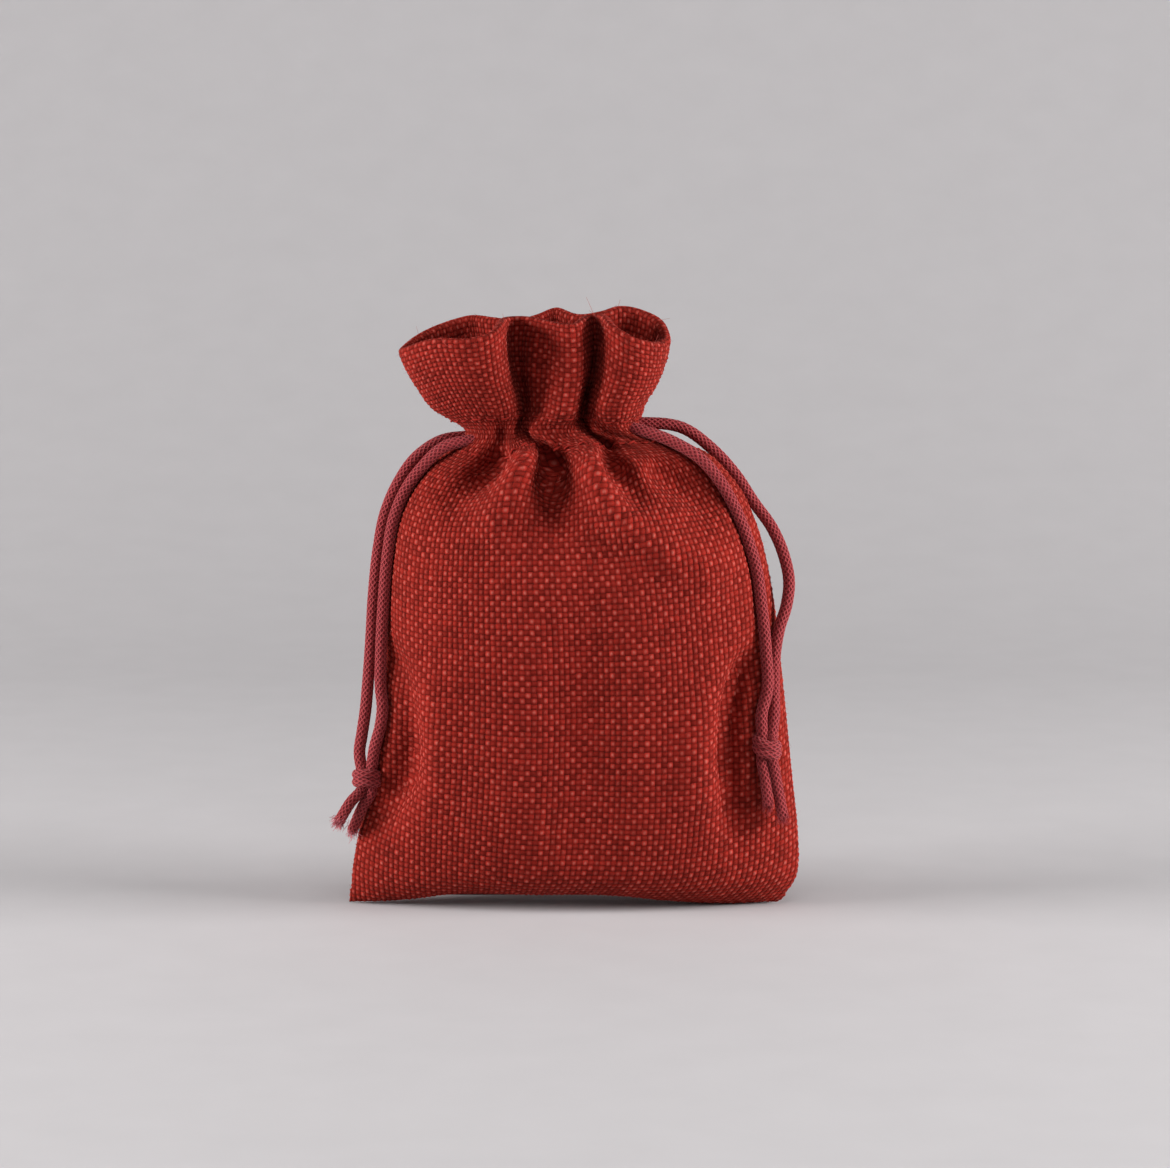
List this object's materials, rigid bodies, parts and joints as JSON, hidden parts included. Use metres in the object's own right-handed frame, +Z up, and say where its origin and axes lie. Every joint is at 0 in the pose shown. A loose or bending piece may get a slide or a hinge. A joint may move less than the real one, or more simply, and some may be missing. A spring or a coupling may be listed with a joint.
{
  "type": "drawstring pouch",
  "caption": "Small woven pouch drawn shut at a gathered neck by braided cords, with a ruffled mouth, knotted cord ends and a rounded body that stands on its folded base.",
  "frame": {"origin": "middle of the base, on the surface that the pouch stands on", "axes": "+Z up through the mouth, +X along the wide face to the viewer's right, -Y the front face"},
  "size_m": [0.1027, 0.042, 0.132],
  "materials": {
    "cloth": "matte coarse plain weave",
    "cord": "matte fine braid"
  },
  "bodies": {
    "root": {"pouch_cloth": "cloth", "left_drawcord": "cord", "right_drawcord": "cord", "left_knot": "cord", "right_knot": "cord"}
  },
  "joints": []
}
